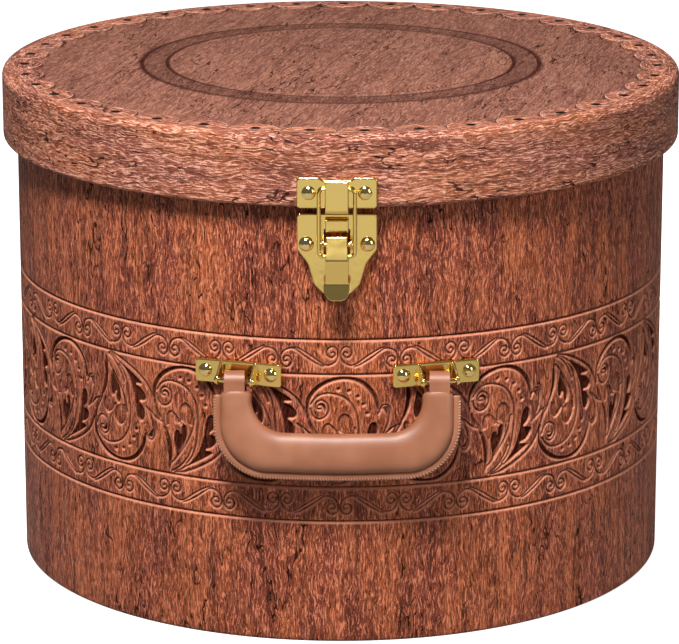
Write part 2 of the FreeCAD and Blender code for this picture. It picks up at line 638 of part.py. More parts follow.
def core_solid():
    """Moulded stiffener through the grip, clear of the tabs."""
    inset = 4.6
    right = [(GRIP_INNER_X + inset, -19.0, 1), (GRIP_OUTER_X - inset, -19.0, 1),
             (GRIP_OUTER_X - inset, -GRIP_BOTTOM + inset + 1.4, 20)]
    left = [(-x, z, r) for x, z, r in reversed(right)]
    outline = (right + [(0, -GRIP_BOTTOM + inset, 150)] + left
               + [(-GRIP_INNER_X - inset, -GRIP_INNER_BOTTOM - inset, 14), (GRIP_INNER_X + inset,
                   -GRIP_INNER_BOTTOM - inset, 14)])
    return from_front(outline, 2.5, -2.5)


def handle_cover():
    return hung(grip_solid().cut(strap_solid(-1)).cut(strap_solid(1)).cut(core_solid()))


# ---- the hinges ----------------------------------------------------------------------------------
def knuckles(side, lid):
    """The barrel of one leaf: its middle third on the lid, the outer two on the body."""
    third = 2 * HINGE_HALF / 3
    low = side * HINGE_X - HINGE_HALF
    y, z = HINGE_AXIS
    spans = [(low + third + KNUCKLE_GAP, low + 2 * third - KNUCKLE_GAP)] if lid else [
        (low, low + third), (low + 2 * third, low + 3 * third)]
    return spans, [rod_x(KNUCKLE_R, a, b, -y, z) for a, b in spans]


def hinge_bore(side):
    y, z = HINGE_AXIS
    middle = side * HINGE_X
    return rod_x(HINGE_PIN_R + SHANK_CLEAR, middle - HINGE_HALF - 1, middle + HINGE_HALF + 1, -y, z)


def leaf_patch(side, wall_r, low, high):
    """Sheet bent to the round wall, with its corners rounded."""
    middle = side * HINGE_X
    outline = from_front([(middle - HINGE_HALF, low, 0.3), (middle + HINGE_HALF, low, 0.3),
                          (middle + HINGE_HALF, high, 2.5), (middle - HINGE_HALF, high, 2.5)], -150, -220)
    return outline.common(tube(wall_r + HINGE_LEAF, wall_r, low - 1, high + 1))


def hinge_leaf_lid(side):
    spans, barrels = knuckles(side, True)
    neck = from_front([(spans[0][0], HINGE_AXIS[1] + 1, 0), (spans[0][1], HINGE_AXIS[1] + 1, 0),
                       (spans[0][1], HINGE_LID_Z[0] + 1, 0),
                       (spans[0][0], HINGE_LID_Z[0] + 1, 0)], -150, -220)
    neck = neck.common(tube(LID_R + HINGE_LEAF, LID_R, 240, 260))
    whole = one([leaf_patch(side, LID_R, *HINGE_LID_Z), neck] + barrels)
    return drilled(whole.cut(hinge_bore(side)), hinge_rivet_set(True))


def hinge_leaf_body(side):
    """Leaf on the wall, cranked out under the lid's rim to the barrel."""
    spans, barrels = knuckles(side, False)
    y, z = HINGE_AXIS
    shelves = []
    for low, high in spans:
        crank = Part.makeBox(high - low, 16, HINGE_LEAF, Vector(low, y - 16, HINGE_BODY_Z[1] - HINGE_LEAF))
        shelves.append(crank.cut(Part.makeCylinder(BODY_R, 20, Vector(0, 0, z - 10))))
    low, high = HINGE_BODY_Z
    patch = leaf_patch(side, BODY_R, low, high)
    flip = patch.mirror(Vector(0, 0, (low + high) / 2), Vector(0, 0, 1))
    return drilled(one([flip] + shelves + barrels).cut(hinge_bore(side)), hinge_rivet_set(False))


def hinge_pin(side):
    y, z = HINGE_AXIS
    middle = side * HINGE_X
    ends = [middle - HINGE_HALF, middle + HINGE_HALF]
    rod = rod_x(HINGE_PIN_R, ends[0] - 0.3, ends[1] + 0.3, -y, z)
    heads = [rod_x(HINGE_PIN_R + 0.7, low, low + 0.7, -y, z) for low in (ends[0] - 0.7, ends[1])]
    return one([rod] + heads)


# ---- writing the sub-parts -----------------------------------------------------------------------
def group(shapes):
    return Part.makeCompound(shapes)


def sub_parts():
    """Every node's name and its shape."""
    return {
        "base_board": base_board(),
        "base_cover": base_cover(),
        "wall_hoop": wall_hoop(),
        "wall_cover": wall_cover(),
        "wall_lining": wall_lining(),
        "floor_pad": floor_pad(),
        "lid_board": lid_board(),
        "lid_hoop": lid_hoop(),
        "lid_pad": lid_pad(),
        "lid_top_cover": lid_top_cover(),
        "lid_rim_cover": lid_rim_cover(),
        "lid_lining": lid_lining(),
        "lid_rim_lining": lid_rim_lining(),
        "latch_strike": latch_strike(),
        "latch_strike_rivets": group([r.solid() for r in strike_rivet_set()]),
        "latch_plate": latch_plate(),
        "latch_plate_rivets": group([r.solid() for r in latch_plate_rivet_set()]),
        "latch_lever_pin": latch_lever_pin(),
        "latch_lever": latch_lever(),
        "latch_wire": latch_wire(),
        "handle_bracket_left": handle_bracket(-1),
        "handle_bracket_right": handle_bracket(1),
        "handle_pin_left": handle_pin(-1),
        "handle_pin_right": handle_pin(1),
        "handle_rivets_left": group([r.solid() for r in bracket_rivet_set(-1)]),
        "handle_rivets_right": group([r.solid() for r in bracket_rivet_set(1)]),
        "handle_cover": handle_cover(),
        "handle_core": hung(core_solid()),
        "handle_tab_left": hung(strap_solid(-1)),
        "handle_tab_right": hung(strap_solid(1)),
        "hinge_leaf_lid_left": hinge_leaf_lid(-1),
        "hinge_leaf_lid_right": hinge_leaf_lid(1),
        "hinge_leaf_body_left": hinge_leaf_body(-1),
        "hinge_leaf_body_right": hinge_leaf_body(1),
        "hinge_pin_left": hinge_pin(-1),
        "hinge_pin_right": hinge_pin(1),
        "hinge_lid_rivets": group([r.solid() for r in hinge_rivet_set(True)]),
        "hinge_body_rivets": group([r.solid() for r in hinge_rivet_set(False)]),
        "lid_rivet_washers": group([r.washer() for r in LID_RIVETS]),
        "body_rivet_washers": group([r.washer() for r in BODY_RIVETS]),
    }


def main():
    os.makedirs("parts", exist_ok=True)
    for name, shape in sub_parts().items():
        if not shape.isValid() or not shape.Solids:
            raise ValueError(name + " is not a valid solid")
        shape.exportStep("parts/" + name + ".step")
        print(name, "solids", len(shape.Solids), "volume", round(shape.Volume, 1))


main()
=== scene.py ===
import json
import math

import bpy
import numpy as np
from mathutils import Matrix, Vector


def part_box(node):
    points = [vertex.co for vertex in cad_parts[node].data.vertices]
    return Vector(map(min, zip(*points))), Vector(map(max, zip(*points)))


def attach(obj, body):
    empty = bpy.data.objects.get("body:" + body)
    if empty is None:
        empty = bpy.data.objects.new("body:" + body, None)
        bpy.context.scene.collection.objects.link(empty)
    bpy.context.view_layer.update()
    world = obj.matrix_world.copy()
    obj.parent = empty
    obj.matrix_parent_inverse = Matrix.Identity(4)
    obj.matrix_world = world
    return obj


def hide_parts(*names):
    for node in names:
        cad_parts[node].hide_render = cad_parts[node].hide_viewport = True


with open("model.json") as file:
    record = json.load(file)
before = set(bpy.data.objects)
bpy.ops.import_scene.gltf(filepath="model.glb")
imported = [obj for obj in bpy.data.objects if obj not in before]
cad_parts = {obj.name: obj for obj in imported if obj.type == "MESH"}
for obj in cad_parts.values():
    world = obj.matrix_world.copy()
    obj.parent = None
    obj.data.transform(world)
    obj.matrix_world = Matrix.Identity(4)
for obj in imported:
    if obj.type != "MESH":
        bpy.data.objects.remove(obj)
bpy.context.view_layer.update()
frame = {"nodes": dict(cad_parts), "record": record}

# Round hat box in embossed faux leather with gold hardware.  Metres, +Z up, -Y is the front.
MM = 0.001
JOINTS = {j["name"]: j for j in frame["record"]["behaviour"]["joints"]}
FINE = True
PETALS = 39
PETAL_CUSP_R, PETAL_TIP_R, PETAL_HOLE_AT = 191.5, 176.8, 187.0     # mm from the lid's middle
PETALS_FROM = 292.1     # the rim's leather above this height is the border of petals, mm


# ---- curves and height fields -----------------------------------------------------------------------
def spline(points, closed=False, steps=10):
    """Smooth curve through points (Catmull-Rom)."""
    p = np.asarray(points, float)
    if closed:
        p = np.vstack([p[-1], p, p[:2]])
    else:
        p = np.vstack([2 * p[0] - p[1], p, 2 * p[-1] - p[-2]])
    t = np.linspace(0, 1, steps, endpoint=False)[:, None]
    out = []
    for a, b, c, d in zip(p[:-3], p[1:-2], p[2:-1], p[3:]):
        square, cube = 2 * a - 5 * b + 4 * c - d, 3 * b - a - 3 * c + d
        out.append(0.5 * (2 * b + (c - a) * t + square * t**2 + cube * t**3))
    curve = np.vstack(out)
    return curve if closed else np.vstack([curve, p[-2]])


def smooth(x):
    x = np.clip(x, 0, 1)
    return x * x * (3 - 2 * x)


class Field:
    """Depth, darkness and pale lips pressed into a flat patch, on a fine grid of (u, v) in millimetres; the
    lips are partly edge wear and partly painted highlight.
    """

    def __init__(self, u_range, v_range, pitch=0.15):
        self.u0, self.v0, self.pitch = u_range[0], v_range[0], pitch
        self.u = np.arange(u_range[0], u_range[1] + pitch, pitch)
        self.v = np.arange(v_range[0], v_range[1] + pitch, pitch)
        self.depth = np.zeros((len(self.v), len(self.u)))
        self.dark = np.zeros_like(self.depth)
        self.wear_and_highlight = np.zeros_like(self.depth)

    def _patch(self, curve, reach):
        lo, hi = curve.min(0) - reach, curve.max(0) + reach
        i = slice(*np.searchsorted(self.u, (lo[0], hi[0])))
        k = slice(*np.searchsorted(self.v, (lo[1], hi[1])))
        return k, i, np.stack(np.meshgrid(self.u[i], self.v[k]), -1)

    @staticmethod
    def _distance(spots, curve):
        best = np.full(spots.shape[:2], 1e9)
        for a, b in zip(curve[:-1], curve[1:]):
            along = b - a
            t = np.clip(((spots - a) @ along) / max(along @ along, 1e-12), 0, 1)
            gap = spots - a - t[..., None] * along
            np.minimum(best, (gap * gap).sum(-1), out=best)
        return np.sqrt(best)

    @staticmethod
    def _inside(spots, curve):
        x, y = spots[..., 0], spots[..., 1]
        odd = np.zeros(x.shape, bool)
        for (ax, ay), (bx, by) in zip(curve, np.roll(curve, -1, 0)):
            crosses = (ay > y) != (by > y)
            if crosses.any():
                odd ^= crosses & (x < ax + (y - ay) * (bx - ax) / ((by - ay) or 1e-12))
        return odd

    def _press(self, k, i, depth, dark, wear_and_highlight):
        self.depth[k, i] = np.maximum(self.depth[k, i], depth)
        self.dark[k, i] = np.maximum(self.dark[k, i], dark)
        self.wear_and_highlight[k, i] = np.maximum(self.wear_and_highlight[k, i], wear_and_highlight)

    # A pale line beside a cut: partly edge wear, partly painted highlight.
    @staticmethod
    def _wear_and_highlight_line(distance, at):
        return np.exp(-(((distance - at) / 0.42) ** 2))

    def groove(self, points, width=1.2, depth=0.8, dark=0.85):
        """A cut line with pale lips on both sides, partly edge wear and partly painted highlight."""
        curve = spline(points)
        k, i, spots = self._patch(curve, width + 1.5)
        d = self._distance(spots, curve)
        cut = smooth(1 - d / width)
        shade = dark * smooth(1.25 - d / (0.8 * width))
        self._press(k, i, depth * cut, shade, self._wear_and_highlight_line(d, width + 0.15) * 0.8)

    def pocket(self, points, depth=1.0, bank=0.7, dark=1.0, steps=8):
        """A sunk, dark-bottomed area with steep banks."""
        curve = spline(points, closed=True, steps=steps)
        k, i, spots = self._patch(curve, 2.0)
        d = self._distance(spots, np.vstack([curve, curve[:1]]))
        inside = self._inside(spots, curve)
        shape = np.where(inside, smooth(d / bank), 0)
        self._press(k, i, depth * shape, dark * np.where(inside, smooth(d / (0.6 * bank)), 0),
                    np.where(inside, 0, self._wear_and_highlight_line(d, 0.25)))

    def hollow(self, edge, reach=4.5, depth=0.9, dark=0.7):
        """A petal pressed deepest along its edge, rising to nothing away from it."""
        curve = spline(edge)
        k, i, spots = self._patch(curve, 2.0)
        d = self._distance(spots, curve)
        inside = self._inside(spots, curve)
        fall = (1 - smooth(d / reach)) * smooth(d / 0.5)
        self._press(k, i, np.where(inside, depth * fall, 0), np.where(inside, dark * fall**2, 0),
                    np.where(inside, 0, self._wear_and_highlight_line(d, 0.3)))

    def hole(self, u, v, radius, depth=0.9):
        ring = np.array([[u - radius, v - radius], [u + radius, v + radius]])
        k, i, spots = self._patch(ring, 1.2)
        d = np.hypot(spots[..., 0] - u, spots[..., 1] - v)
        cut, shade = smooth(1.35 - d / radius), smooth(1.3 - d / radius)
        self._press(k, i, depth * cut, shade, self._wear_and_highlight_line(d, radius + 0.4))

    def read(self, u, v):
        """Depth, darkness and pale lips of wear and painted highlight at the places (u, v); nothing outside
        the patch.
        """
        x, y = (u - self.u0) / self.pitch, (v - self.v0) / self.pitch
        i, k = np.floor(x).astype(int), np.floor(y).astype(int)
        ok = (i >= 0) & (k >= 0) & (i < len(self.u) - 1) & (k < len(self.v) - 1)
        i, k = np.where(ok, i, 0), np.where(ok, k, 0)
        fx, fy = np.where(ok, x - i, 0), np.where(ok, y - k, 0)
        out = []
        for a in (self.depth, self.dark, self.wear_and_highlight):
            low = a[k, i] * (1 - fx) + a[k, i + 1] * fx
            high = a[k + 1, i] * (1 - fx) + a[k + 1, i + 1] * fx
            out.append(np.where(ok, low * (1 - fy) + high * fy, 0))
        return out


LEAF_HIGH = 65.5        # height of the band that the leaves fill, mm


def leaf_field(pitch=0.15):
    """One curled leaf, its tip at the top and its round head at the bottom."""
    f = Field((-6, 51), (0, LEAF_HIGH), pitch)
    f.pocket([(-3.7, 21), (-3.3, 14.5), (-0.3, 9), (5, 4.3), (12, 1.5), (20, 0.9), (26, 2), (31, 5),
              (35.2, 10), (37.4, 15.5), (38.4, 22), (36.4, 20.6), (34, 14), (30, 8.5), (25, 5.1),
              (19, 3.6), (12, 4.6), (6, 7.6), (2, 11.2), (-0.6, 15.6), (-1.3, 21), (-1.0, 25),
              (-2.8, 26)], depth=1.0)
    f.pocket([(7.3, 63.2), (6.5, 58), (6.3, 52), (5.8, 47), (4.6, 42), (3.0, 38), (5.2, 38.2), (7.4, 42),
              (9.0, 47), (9.6, 52.5), (9.2, 57.5), (8.5, 61)], depth=1.0)
    f.groove([(-2.4, 24), (-1.2, 28), (1.0, 32), (3.2, 35.5), (4.4, 39)], width=1.3)
    f.pocket([(12.7, 55.4), (11.5, 51), (10.6, 46), (10.8, 41.5), (12.2, 38.8), (14, 39.2), (15.0, 41.2),
              (15.4, 37.6), (16.5, 35.4), (17.9, 35.2), (19.0, 37.2), (19.3, 41), (18.0, 46),
              (15.6, 51)], depth=1.05)
    f.hollow([(5.4, 37.5), (5.1, 33.5), (6, 30), (8.3, 27.8), (11, 28.9), (13.6, 31.6), (15.2, 34.4)])
    f.hollow([(14, 33), (13.9, 27.5), (15.3, 24), (18.2, 22.2), (21, 23.7), (23, 27), (23.7, 31),
              (23.6, 36)], reach=6)
    f.groove([(15.2, 35), (14.4, 33.6), (13.4, 33.9)], width=1.05)
    f.pocket([(17.6, 60.4), (22, 58.6), (26.5, 56.2), (31.5, 53.2), (35.4, 50.1), (33.6, 48.9),
              (31.0, 48.7), (34, 47.6), (36.7, 45.2), (38.1, 42.2), (37.3, 40.0), (35.4, 39.2),
              (33.3, 39.0), (35.4, 37), (37.0, 34), (36.9, 30.3), (35.2, 27.6), (33, 27.9), (31.4, 30.5),
              (30.5, 35), (29.7, 40), (28.2, 45), (25.6, 51), (22, 55.8)], depth=1.05)
    f.groove([(-0.9, 20), (0.5, 23.6), (3, 25.7), (6, 25.3), (8.5, 23), (9.2, 19.8), (8.3, 16.8),
              (5.8, 15.0), (3.3, 15.7), (2.1, 17.8), (2.9, 19.7), (4.8, 19.9)], width=1.05)
    f.pocket([(2.9, 19.2), (3.0, 17.4), (4.8, 16.2), (7.0, 16.9), (8.1, 19.2), (7.5, 22), (6.5, 20.4),
              (5.4, 18.9), (4.2, 18.6)], depth=0.8, bank=0.6)
    f.groove([(-0.6, 17.4), (1.5, 14.2), (4.5, 11.9), (8, 10.9), (12, 11.1), (17, 12.7), (21, 15.7),
              (24, 20.2), (25.7, 25.5), (26.2, 31), (25.9, 37), (25.2, 43), (23.8, 49), (21.5, 54.2),
              (18.2, 58.2)], width=1.05)
    f.groove([(8.7, 59), (12, 55.4), (15.5, 50.8), (18.6, 46), (21.2, 41), (23, 35.6),
              (23.8, 31)], width=1.15)
    f.groove([(9.6, 63.4), (14, 60.6), (17.6, 56.6), (20.2, 52.6), (21.8, 48.6)], width=1.15)
    f.groove([(11.4, 63.4), (15, 61.9), (18.6, 59.2)], width=1.15)
    f.groove([(11, 64.3), (16, 63.3), (22, 61), (28, 58), (34, 54.3), (38.5, 50.3), (42, 44.7),
              (44.6, 39), (46, 34.6), (46.9, 31)], width=1.4, depth=0.9)
    f.groove([(40.4, 35.4), (43.4, 32.5), (46, 30.7), (48.8, 29.6)], width=1.15)
    f.groove([(38.2, 36.8), (40.5, 33.6), (42.4, 28.6), (43.5, 23.6), (43.3, 20), (41.8, 18),
              (39.7, 18.2), (38.4, 20.2), (37.3, 22.6)], width=1.15)
    f.pocket([(38.9, 19.8), (40.6, 18.4), (42.7, 19), (43.3, 22), (42.9, 25.6), (41.6, 23.6),
              (40.3, 21.7)], depth=0.8)
    for u, v in ((14.8, 8.2), (20.6, 9.4), (25.5, 12.6), (28.7, 17.2), (30.8, 22.4)):
        f.hole(u, v, 1.25)
    return f


SCROLL_HALF = 10.0      # half the height of a scroll border, mm


def scroll_field(period, pitch=0.12):
    """Two mirrored S-scrolls, from one low pair of spirals to the next."""
    f = Field((-1.5, period + 1.5), (-SCROLL_HALF, SCROLL_HALF), pitch)
    middle = period / 4
    curl = [(4.4, -2.5), (3.0, -2.9), (2.4, -1.3), (3.9, 0.2), (5.9, -0.4), (7.0, -2.7), (5.9, -5.1),
            (3.4, -6.0), (1.0, -3.9), (0.7, -0.4), (2.6, 3.1), (6.2, 4.7), (9.0, 4.2)]
    under = [(9.0, 4.2), (11.4, 2.6), (middle, -1.3), (2 * middle - 10.8, -4.7), (2 * middle - 8.6, -5.4)]
    turned_round = [(2 * middle - s, -t) for s, t in under]
    for line in (curl, [(2 * middle - s, -t) for s, t in curl], under, turned_round):
        for side in (line, [(period - s, t) for s, t in line]):
            f.groove(side, width=0.95, depth=0.75, dark=0.85)
    return f


# ---- mesh tools -------------------------------------------------------------------------------------
def mesh_object(name, vertices, faces, attributes=None, flat=False):
    """faces is an (n, 4) array, where a repeated last corner makes a triangle."""
    mesh = bpy.data.meshes.new(name)
    faces = np.asarray(faces, np.int32)
    triangles = faces[:, 3] == faces[:, 2]
    loops = np.concatenate([faces[~triangles].ravel(), faces[triangles][:, :3].ravel()])
    totals = np.concatenate([np.full((~triangles).sum(), 4), np.full(triangles.sum(), 3)])
    starts = np.concatenate([[0], np.cumsum(totals)[:-1]])
    mesh.vertices.add(len(vertices))
    mesh.vertices.foreach_set("co", np.asarray(vertices, np.float32).ravel())
    mesh.loops.add(len(loops))
    mesh.loops.foreach_set("vertex_index", loops.astype(np.int32))
    mesh.polygons.add(len(totals))
    mesh.polygons.foreach_set("loop_start", starts.astype(np.int32))
    mesh.polygons.foreach_set("use_smooth", np.full(len(totals), not flat))
    mesh.update(calc_edges=True)
    mesh.validate()
    for key, values in (attributes or {}).items():
        layer = mesh.attributes.new(key, "FLOAT", "POINT")
        layer.data.foreach_set("value", np.asarray(values, np.float32).ravel())
    obj = bpy.data.objects.new(name, mesh)
    bpy.context.scene.collection.objects.link(obj)
    return obj


def grid_faces(rows, columns, wrap_rows=False, wrap_columns=True):
    """Quads of a grid of vertices numbered row by row."""
    k = np.arange(rows if wrap_rows else rows - 1)[:, None]
    i = np.arange(columns if wrap_columns else columns - 1)[None, :]
    k2, i2 = (k + 1) % rows, (i + 1) % columns
    near, far = k * columns, k2 * columns
    return np.stack([near + i, near + i2, far + i2, far + i], -1).reshape(-1, 4)


def closed_faces(rows, columns, flip=False):
    """Faces of a stack of rings, closed at both ends by fans round two more vertices, first end first."""
    i = np.arange(columns)
    after, end, hub = (i + 1) % columns, (rows - 1) * columns, rows * columns
    grid = grid_faces(rows, columns)
    fans = np.vstack([np.stack([np.full(columns, hub), after, i], -1),
                      np.stack([np.full(columns, hub + 1), end + i, end + after], -1)])
    if flip:
        grid, fans = grid[:, ::-1], fans[:, ::-1]
    return np.vstack([grid, np.hstack([fans, fans[:, -1:]])])


def arc(centre, radius, start, end, steps):
    """Points of an arc in the (radius, z) plane, angles in degrees."""
    t = np.radians(np.linspace(start, end, steps))
    return [(centre[0] + radius * math.cos(a), centre[1] + radius * math.sin(a)) for a in t]


def paint(obj, material, body):
    obj.data.materials.append(material)
    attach(obj, body)


def box_mm(node):
    return [[v / MM for v in corner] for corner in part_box(node)]


# ---- materials --------------------------------------------------------------------------------------
class Shader:
    """Short names for building a node material."""

    def __init__(self, name):
        self.material = bpy.data.materials.new(name)
        self.material.use_nodes = True
        self.tree = self.material.node_tree
        self.bsdf = self.tree.nodes["Principled BSDF"]

    def put(self, socket, value):
        if isinstance(value, bpy.types.NodeSocket):
            self.tree.links.new(value, socket)
        else:
            socket.default_value = value

    def math(self, operation, a, b=0.0, c=0.0):
        node = self.tree.nodes.new("ShaderNodeMath")
        node.operation = operation
        for socket, value in zip(node.inputs, (a, b, c)):
            self.put(socket, value)
        return node.outputs[0]

    def vector(self, x, y, z):
        node = self.tree.nodes.new("ShaderNodeCombineXYZ")
        for socket, value in zip(node.inputs, (x, y, z)):
            self.put(socket, value)
        return node.outputs[0]

    def noise(self, place, scale, detail=2.0, rough=0.5, stretch=(1, 1, 1)):
        moved = self.tree.nodes.new("ShaderNodeVectorMath")
        moved.operation = "MULTIPLY"
        self.put(moved.inputs[0], place)
        moved.inputs[1].default_value = stretch
        node = self.tree.nodes.new("ShaderNodeTexNoise")
        self.put(node.inputs["Vector"], moved.outputs[0])
        node.inputs["Scale"].default_value = scale
        node.inputs["Detail"].default_value = detail
        node.inputs["Roughness"].default_value = rough
        return node.outputs["Fac"]

    def warped(self, place, scale, amount):
        """Places pushed about by a slow noise, so that straight grain wanders."""
        slow = self.tree.nodes.new("ShaderNodeTexNoise")
        slow.inputs["Scale"].default_value = scale
        slow.inputs["Detail"].default_value = 2
        self.put(slow.inputs["Vector"], place)
        push = self.tree.nodes.new("ShaderNodeVectorMath")
        push.operation = "MULTIPLY_ADD"
        self.put(push.inputs[0], slow.outputs["Color"])
        push.inputs[1].default_value = (amount, amount, amount)
        self.put(push.inputs[2], place)
        return push.outputs[0]

    def band(self, value, low, high):
        """0 at low, 1 at high, smooth between; low may be the larger one."""
        node = self.tree.nodes.new("ShaderNodeMapRange")
        node.interpolation_type = "SMOOTHSTEP"
        self.put(node.inputs["Value"], value)
        node.inputs["From Min"].default_value = low
        node.inputs["From Max"].default_value = high
        return node.outputs["Result"]

    def mix(self, factor, a, b):
        node = self.tree.nodes.new("ShaderNodeMix")
        node.data_type = "RGBA"
        self.put(node.inputs["Factor"], factor)
        self.put(node.inputs["A"], a if isinstance(a, bpy.types.NodeSocket) else (*a, 1))
        self.put(node.inputs["B"], b if isinstance(b, bpy.types.NodeSocket) else (*b, 1))
        return node.outputs["Result"]

    def place(self):
        """Object coordinates in millimetres."""
        node = self.tree.nodes.new("ShaderNodeTexCoord")
        scale = self.tree.nodes.new("ShaderNodeVectorMath")
        scale.operation = "SCALE"
        scale.inputs["Scale"].default_value = 1 / MM
        self.put(scale.inputs[0], node.outputs["Object"])
        return scale.outputs[0]

    def attribute(self, name):
        node = self.tree.nodes.new("ShaderNodeAttribute")
        node.attribute_name = name
        return node.outputs["Fac"]

    def soft_edges(self, radius_mm):
        """Normal rounded over the edges, and how near an edge a place is, from 0 to 1."""
        bevel = self.tree.nodes.new("ShaderNodeBevel")
        bevel.samples = 8
        bevel.inputs["Radius"].default_value = radius_mm * MM
        plain_normal = self.tree.nodes.new("ShaderNodeNewGeometry").outputs["Normal"]
        turn = self.tree.nodes.new("ShaderNodeVectorMath")
        turn.operation = "DOT_PRODUCT"
        self.put(turn.inputs[0], bevel.outputs[0])
        self.put(turn.inputs[1], plain_normal)
        return bevel.outputs[0], self.band(turn.outputs["Value"], 0.995, 0.86)

    def bump(self, height, distance, strength=1.0, base=None):
        node = self.tree.nodes.new("ShaderNodeBump")
        node.inputs["Distance"].default_value = distance
        node.inputs["Strength"].default_value = strength
        self.put(node.inputs["Height"], height)
        if base is not None:
            self.put(node.inputs["Normal"], base)
        return node.outputs["Normal"]

    def split(self, vector):
        node = self.tree.nodes.new("ShaderNodeSeparateXYZ")
        self.put(node.inputs[0], vector)
        return node.outputs[0], node.outputs[1], node.outputs[2]

    def length(self, a, b):
        return self.math("SQRT", self.math("ADD", self.math("MULTIPLY", a, a), self.math("MULTIPLY", b, b)))

    def polar(self, x, y):
        """Angle round the box from its front, and distance from its middle."""
        return self.math("ARCTAN2", x, self.math("MULTIPLY", y, -1.0)), self.length(x, y)


# The second tone darkens the pressed pattern and also paints the shadow along the lid's petals; the third is
# painted shade in and round the rim's petal holes.
CRACK_TONE, SUNK_AND_SHADE_TONE, HOLE_SHADE_TONE = (0.020, 0.006, 0.004), (0.028, 0.006, 0.005), (0.012, 0.006, 0.005)


def along_grain(s, place, grain):
    """Places with the grain along their third value: "up", "round" the rim, or at an angle in degrees."""
    if grain == "up":
        return place
    x, y, z = s.split(place)
    if grain == "round":
        turn, out = s.polar(x, y)
        return s.vector(out, z, s.math("MULTIPLY", turn, 200.0))
    cos, sin = math.cos(math.radians(grain)), math.sin(math.radians(grain))
    across = s.math("SUBTRACT", s.math("MULTIPLY", x, sin), s.math("MULTIPLY", y, cos))
    down = s.math("ADD", s.math("MULTIPLY", x, cos), s.math("MULTIPLY", y, sin))
    return s.vector(across, z, down)


def petal_hole_shade(s, place):
    """1 in and just round the holes of the border's petals, where the leather is painted dark as shade."""
    x, y, z = s.split(place)
    turn, out = s.polar(x, y)
    sector = 2 * math.pi / PETALS
    share = s.math("FRACT", s.math("DIVIDE", turn, sector))
    beside = s.math("MULTIPLY", s.math("SUBTRACT", share, 0.5), sector * PETAL_HOLE_AT)
    behind = s.math("SUBTRACT", out, PETAL_HOLE_AT)
    near = s.band(s.length(beside, behind), 3.4, 2.7)
    return s.math("MULTIPLY", near, s.band(z, PETALS_FROM, PETALS_FROM + 0.5))


def wood_leather(name, grain, tones, stroke=(1.5, 0.17), contrast=0.95, relief=0.34, sunk=False, pale_edges_and_hole_shade=False):
    """Faux leather printed and pressed like old wood: short strokes, streaks, cracks, pores and pebbling.

    tones runs from dark to pale; stroke is how fine the strokes are across and along the grain, per mm.
    sunk reads from the mesh the pressed pattern's darkness, which on the lid also holds a painted shadow
    along the petals and under their holes, and its pale lips of edge wear and painted highlight; worn gives
    pale edges, partly wear and partly painted highlight, and painted shade in and round the petals' holes.
    """
    s = Shader(name)
    place = s.place()
    along = s.warped(along_grain(s, place, grain), 0.07, 5.0)
    deep, brown, amber, pale = tones
    wear_and_highlight_tone = tuple(min(1.0, 1.1 * c + 0.06) for c in pale)
    wide, long = stroke
    patch = s.noise(along, 1.0, 2, 0.5, (0.05, 0.05, 0.012))
    streak = s.noise(along, 1.0, 3, 0.6, (0.30, 0.30, 0.016))
    strokes = s.noise(along, 1.0, 2, 0.6, (wide, wide, long))
    pebble = s.noise(place, 1.7, 3, 0.7)
    crack = s.noise(along, 1.0, 2, 0.6, (0.11, 0.11, 0.02))
    where = s.noise(along, 1.0, 2, 0.5, (0.045, 0.045, 0.02))
    grit = s.math("ADD", s.math("MULTIPLY", strokes, 0.50), s.math("MULTIPLY", pebble, 0.25))
    grit = s.math("MULTIPLY_ADD", streak, 0.12, grit)
    grit = s.math("ADD", grit, 0.065)
    top = s.band(grit, 0.44, 0.56)
    gap = s.math("ABSOLUTE", s.math("SUBTRACT", crack, 0.5))
    cut = s.math("MULTIPLY", s.band(gap, 0.013, 0.004), s.band(where, 0.48, 0.56))
    pore = s.band(s.noise(along, 1.0, 2, 0.5, (0.75, 0.75, 0.10)), 0.63, 0.72)
    mark = s.math("MAXIMUM", cut, s.math("MULTIPLY", pore, 0.85))
    colour = s.mix(s.band(patch, 0.36, 0.64), brown, amber)
    colour = s.mix(s.math("MULTIPLY", s.band(streak, 0.52, 0.38), 0.5), colour, deep)
    colour = s.mix(s.math("MULTIPLY", s.band(grit, 0.505, 0.575), 0.80 * contrast), colour, pale)
    colour = s.mix(s.math("MULTIPLY", s.band(grit, 0.485, 0.415), 0.95 * contrast), colour, deep)
    colour = s.mix(s.math("MULTIPLY", mark, 0.9), colour, CRACK_TONE)
    height = s.math("SUBTRACT", top, s.math("MULTIPLY", mark, 0.8))
    shine = s.math("MULTIPLY_ADD", mark, -0.28, 0.30)
    normal = None
    if sunk:
        dark = s.attribute("dark")
        # The pressed pattern's dark parts take a dark tone; on the lid this also paints the shadow along the
        # petals' edges and under their holes.
        colour = s.mix(s.math("MULTIPLY", dark, 0.86), colour, SUNK_AND_SHADE_TONE)
        # Painted highlight, partly edge wear: the pale lips of the pressed pattern take a lighter tone.
        colour = s.mix(s.math("MULTIPLY", s.attribute("wear_and_highlight"), 0.85), colour, wear_and_highlight_tone)
        shine = s.math("MULTIPLY", shine, s.math("SUBTRACT", 1.0, dark))
    if pale_edges_and_hole_shade:
        # Pale edges, partly wear and partly a painted highlight along the rim's fold and the petals' edges.
        normal, edge = s.soft_edges(0.9)
        colour = s.mix(s.math("MULTIPLY", edge, 0.8), colour, wear_and_highlight_tone)
        # Painted shade in and round the petals' holes.
        colour = s.mix(petal_hole_shade(s, place), colour, HOLE_SHADE_TONE)
    s.put(s.bsdf.inputs["Base Color"], colour)
    s.put(s.bsdf.inputs["Roughness"], s.math("MULTIPLY_ADD", top, -0.16, 0.56))
    s.put(s.bsdf.inputs["Specular IOR Level"], shine)
    s.put(s.bsdf.inputs["Normal"], s.bump(height, relief * MM, 1.0, normal))
    return s.material


